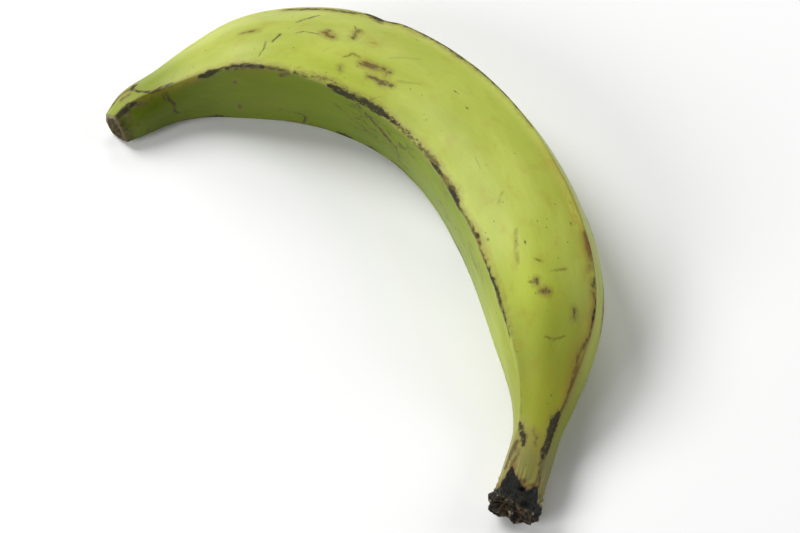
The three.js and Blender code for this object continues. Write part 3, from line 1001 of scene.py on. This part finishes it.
def stained(paint, colour):
    """Faint ochre clouds where the peel sees the sun, ochre and rust stains, and small brown specks."""
    clouds = paint.times(paint.step(paint.cloudy, *CLOUD_CHANGE), paint.step(paint.inner, 1, 0))
    colour = paint.blend(clouds, colour, OCHRE)
    breaks = paint.step(paint.add(paint.rough, paint.slow), *STAIN_BREAKS)
    # Ochre stains are darker inside the bend: painted shade.
    ochre = paint.blend(paint.inner, OCHRE, SHADED_INNER_OCHRE)
    colour = paint.blend(paint.times(paint.read("ochre"), breaks, OCHRE_STRENGTH), colour, ochre)
    colour = paint.blend(paint.times(paint.read("rust"), breaks, RUST_STRENGTH), colour, RUST)
    from_middle, chosen = paint.cells(SPECK_CELLS, SPECK_RAGGEDNESS)
    specks = paint.times(paint.step(from_middle, *SPECK_EDGE), paint.step(chosen, *SPECK_CHOICE))
    return paint.blend(paint.times(specks, SPECK_STRENGTH), colour, SCUFF_BROWN)


def scratched(paint, colour):
    """Thin scratches, broken up along their length."""
    offset = paint.math("ABSOLUTE", paint.ragged(paint.read("line_offset"), SCRATCH_RAGGEDNESS))
    plainness = paint.read("line_plainness")
    breaks = paint.step(paint.broken, *SCRATCH_BREAKS)
    mask = paint.times(paint.step(offset, *SCRATCH_EDGE), plainness, breaks)
    line_colour = paint.blend(paint.step(plainness, *PLAIN_SCRATCHES), LINE_OCHRE, LINE_BROWN)
    return paint.blend(mask, colour, line_colour), mask


def worn_line(paint):
    """A thin brown line along each ridge, with long gaps."""
    edge = paint.step(paint.ragged(paint.ridge, WORN_RAGGEDNESS), *WORN_EDGE)
    return paint.times(edge, paint.step(paint.worn, *WORN_BREAKS), WORN_STRENGTH)


def scuffed(paint, colour):
    """A thin worn line along each ridge, brown scuffs and dark ones, with a stained edge."""
    brown_edge = paint.read("brown_edge")
    dark_edge = paint.read("dark_edge")
    nearest = paint.ragged(paint.math("MINIMUM", dark_edge, brown_edge), STAIN_RAGGEDNESS)
    outside = paint.math("MULTIPLY_ADD", paint.inner, -STAIN_LOSS, 1.0)
    halo = paint.times(paint.step(nearest, *STAIN_EDGE), outside, STAIN_STRENGTH)
    colour = paint.blend(halo, colour, STAIN)
    uneven = paint.ragged(paint.times(paint.fine, FINE_RAGGEDNESS), SCUFF_RAGGEDNESS)
    brown = paint.math("MAXIMUM", worn_line(paint), paint.step(paint.add(brown_edge, uneven), *BROWN_EDGE))
    brown_colour = paint.blend(paint.step(paint.rough, *GREY_CHANGE), SCUFF_BROWN, SCUFF_GREY)
    brown_colour = paint.blend(paint.times(paint.read("rust"), SCUFF_RUST), brown_colour, RUST)
    colour = paint.blend(paint.times(brown, BROWN_STRENGTH), colour, brown_colour)
    dark = paint.step(paint.add(dark_edge, uneven), *DARK_EDGE)
    wear = paint.step(paint.add(paint.fine, paint.rough), *DARK_WEAR)
    colour = paint.blend(paint.times(dark, wear), colour, SCUFF_DARK)
    return colour, paint.math("MAXIMUM", brown, dark)


def dry_stem(paint, colour):
    """The dry stem end: a brown rim on the green, black fibre, and brown crumbs where it is torn."""
    dryness = paint.ragged(paint.read("dryness"), DRY_RAGGEDNESS)
    dryness = paint.add(dryness, paint.times(paint.stem_fibres, DRY_FIBRE_REACH))
    colour = paint.blend(paint.step(dryness, *RIM_CHANGE), colour, RIM_BROWN)
    fibre = paint.blend(paint.step(paint.stem_fibres, *GREY_FIBRES), DRY_BLACK, DRY_GREY)
    torn = paint.step(paint.add(paint.distance, paint.stem_fibres), *TORN_CHANGE)
    from_middle, kind = paint.cells(CRUMB_CELLS, CRUMB_RAGGEDNESS)
    crumb = paint.times(torn, paint.step(from_middle, *CRUMB_EDGE))
    for choice, shown in ((BROWN_CRUMBS, DRY_BROWN), (TAN_CRUMBS, DRY_TAN)):
        fibre = paint.blend(paint.times(crumb, paint.step(kind, *choice)), fibre, shown)
    mask = paint.step(dryness, *DRY_CHANGE)
    return paint.blend(mask, colour, fibre), mask


def blossom_end(paint, colour):
    """Mottled brown skin inside the bend beside the scar, and the scar: a rim around a dark middle."""
    mottle = paint.add(paint.times(paint.fine, TIP_FINE_PART), paint.rough)
    near = paint.step(paint.ragged(paint.distance, TIP_RAGGEDNESS), *TIP_REACH)
    mottled = paint.blend(paint.step(mottle, *TIP_MOTTLE), TIP_OLIVE, TIP_BROWN)
    colour = paint.blend(paint.times(near, paint.inner, TIP_STRENGTH), colour, mottled)
    rim = paint.step(paint.ragged(paint.distance, RIM_RAGGEDNESS), *SCAR_RIM)
    middle = paint.blend(paint.step(mottle, *SCAR_MOTTLE), TIP_BROWN, TIP_OLIVE)
    scar = paint.blend(rim, middle, paint.blend(paint.inner, SCAR_GREY, SCAR_BROWN))
    mask = paint.step(paint.ragged(paint.distance, SCAR_RAGGEDNESS), *SCAR_CHANGE)
    return paint.blend(mask, colour, scar), mask


def peel_material():
    """Satin where the peel is sound, dull where it is scuffed, and fibrous where it is dry."""
    paint = PeelPaint()
    colour = stained(paint, sound_peel(paint))
    colour, scratches = scratched(paint, colour)
    colour, scuffs = scuffed(paint, colour)
    colour, dry = dry_stem(paint, colour)
    colour, scar = blossom_end(paint, colour)
    dull = paint.math("MAXIMUM", scuffs, scar)
    uneven = paint.add(paint.rough, paint.slow)
    roughness = paint.math("MULTIPLY_ADD", uneven, ROUGHNESS_VARIATION, PEEL_ROUGHNESS)
    for share, value in ((dull, DULL_ROUGHNESS), (dry, DRY_ROUGHNESS)):
        roughness = paint.make("ShaderNodeMix", {0: share, 2: roughness, 3: value}).outputs[0]
    relief = paint.add(paint.times(paint.fibres, FIBRE_BUMP), paint.times(paint.pores, PORE_BUMP),
                       paint.times(dull, paint.fine, SCUFF_BUMP),
                       paint.times(dry, paint.stem_fibres, DRY_FIBRE_BUMP),
                       paint.times(dry, paint.fine, DRY_CRUMB_BUMP), paint.times(scratches, SCRATCH_BUMP))
    sockets = {"Height": relief, "Distance": RELIEF_DEPTH, "Strength": 1.0}
    normal = paint.make("ShaderNodeBump", sockets).outputs[0]
    paint.set(Base_Color=colour, Roughness=roughness, Normal=normal, Specular_IOR_Level=PEEL_GLOSS)
    return paint.material


def make_floor():
    paint = Paint("white_table")
    paint.set(Base_Color=(FLOOR_WHITE, FLOOR_WHITE, FLOOR_WHITE, 1.0), Roughness=FLOOR_ROUGHNESS)
    bpy.ops.mesh.primitive_plane_add(size=FLOOR_SIZE)
    floor = bpy.context.object
    floor.name = "white_table"
    floor.data.materials.append(paint.material)


def from_photo(right, away, up):
    """Direction given in the photo's own ground axes, as one in the part's frame."""
    turn = math.radians(PHOTO_TURN)
    return Vector((right * math.cos(turn) - away * math.sin(turn),
                   right * math.sin(turn) + away * math.cos(turn), up)).normalized()


def look_along(thing, direction):
    thing.rotation_mode = "QUATERNION"
    thing.rotation_quaternion = direction.to_track_quat("-Z", "Y")


def make_camera():
    rise = math.radians(PHOTO_RISE)
    back = from_photo(0, -math.cos(rise), math.sin(rise))
    camera = bpy.data.objects.new("camera", bpy.data.cameras.new("camera"))
    bpy.context.collection.objects.link(camera)
    camera.location = Vector(CAMERA_AIM) + back * CAMERA_DISTANCE
    look_along(camera, -back)
    camera.data.lens = CAMERA_LENS
    camera.data.clip_start = CAMERA_NEAREST
    bpy.context.scene.camera = camera


def make_light(name, direction, size, power):
    light = bpy.data.lights.new(name, "AREA")
    light.shape = "DISK"
    light.size = size
    light.energy = power
    lamp = bpy.data.objects.new(name, light)
    bpy.context.collection.objects.link(lamp)
    lamp.location = from_photo(*direction) * LIGHT_DISTANCE
    look_along(lamp, -lamp.location)


def light_room():
    for name, direction, size, power in LIGHTS:
        make_light(name, direction, size, power)
    scene = bpy.context.scene
    scene.world = bpy.data.worlds.new("white_room")
    scene.world.use_nodes = True
    background = scene.world.node_tree.nodes["Background"]
    background.inputs["Color"].default_value = (1.0, 1.0, 1.0, 1.0)
    background.inputs["Strength"].default_value = ROOM_STRENGTH
    scene.view_settings.view_transform = "Standard"
    scene.view_settings.look = "None"


make_camera()
make_fruit()
make_floor()
light_room()
